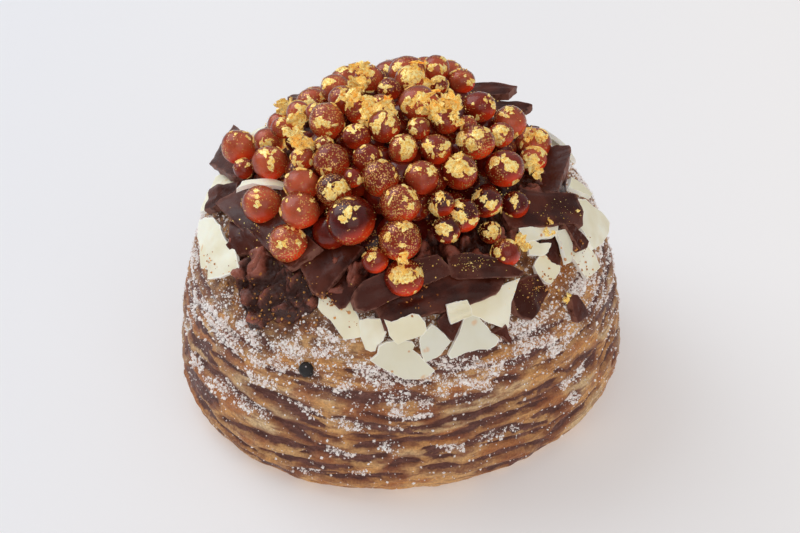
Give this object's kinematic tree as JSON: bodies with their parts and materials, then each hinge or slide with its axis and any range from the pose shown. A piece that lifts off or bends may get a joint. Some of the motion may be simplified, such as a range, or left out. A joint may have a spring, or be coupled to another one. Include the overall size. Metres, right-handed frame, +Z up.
{
  "type": "doughnut",
  "caption": "Drum-shaped doughnut of thin wavy plain and chocolate layers, heaped with jelly pearls over chocolate cream and broken shards of white and dark chocolate.",
  "frame": {"origin": "middle of the flat underside", "axes": "+Z up, out of the toppings; -Y is the front, the side that the picture shows; +X is to the right seen from the front"},
  "size_m": [0.0903, 0.0921, 0.069],
  "materials": {
    "dough": "matt baked dough in plain and chocolate layers, dusted with sugar",
    "chocolate_cream": "satin soft cream",
    "white_chocolate": "satin",
    "dark_chocolate": "satin",
    "jelly": "wet gloss, flecked with gold leaf"
  },
  "bodies": {
    "root": {"dough": "dough", "white_crescent_shard": "white_chocolate", "dark_left_long_shard": "dark_chocolate", "dark_front_left_shard": "dark_chocolate", "dark_front_a_shard": "dark_chocolate", "dark_front_b_shard": "dark_chocolate", "dark_front_under_shard": "dark_chocolate", "dark_front_behind_shard": "dark_chocolate", "dark_right_shard": "dark_chocolate", "dark_right_back_shard": "dark_chocolate", "dark_left_back_shard": "dark_chocolate", "dark_left_low_shard": "dark_chocolate", "dark_left_chunk_shard": "dark_chocolate", "dark_back_shard": "dark_chocolate", "dark_back_tip_shard": "dark_chocolate", "dark_back_left_shard": "dark_chocolate", "white_roll_shard": "white_chocolate", "white_right_slim_shard": "white_chocolate", "white_right_bar_shard": "white_chocolate", "white_front_c_shard": "white_chocolate", "white_front_f_shard": "white_chocolate", "white_right_shard": "white_chocolate", "white_front_a_shard": "white_chocolate", "white_front_b_shard": "white_chocolate", "white_front_d_shard": "white_chocolate", "white_front_e_shard": "white_chocolate", "white_front_g_shard": "white_chocolate", "white_right_chip_shard": "white_chocolate", "white_right_crumb_shard": "white_chocolate", "white_right_low_shard": "white_chocolate", "white_right_high_shard": "white_chocolate", "white_left_shard": "white_chocolate", "white_left_high_shard": "white_chocolate", "white_back_a_shard": "white_chocolate", "white_back_b_shard": "white_chocolate", "white_back_c_shard": "white_chocolate", "white_back_d_shard": "white_chocolate", "white_back_e_shard": "white_chocolate", "white_back_f_shard": "white_chocolate", "dark_right_mid_shard": "dark_chocolate", "dark_right_roll_shard": "dark_chocolate", "dark_right_low_shard": "dark_chocolate", "dark_right_sliver_shard": "dark_chocolate", "dark_front_wedge_shard": "dark_chocolate", "dark_front_dot_shard": "dark_chocolate", "chocolate_cream": "chocolate_cream", "jelly_pearls": "jelly", "stray_pearl_1": "jelly", "stray_pearl_2": "jelly", "stray_pearl_3": "jelly", "stray_pearl_4": "jelly"}
  },
  "joints": []
}
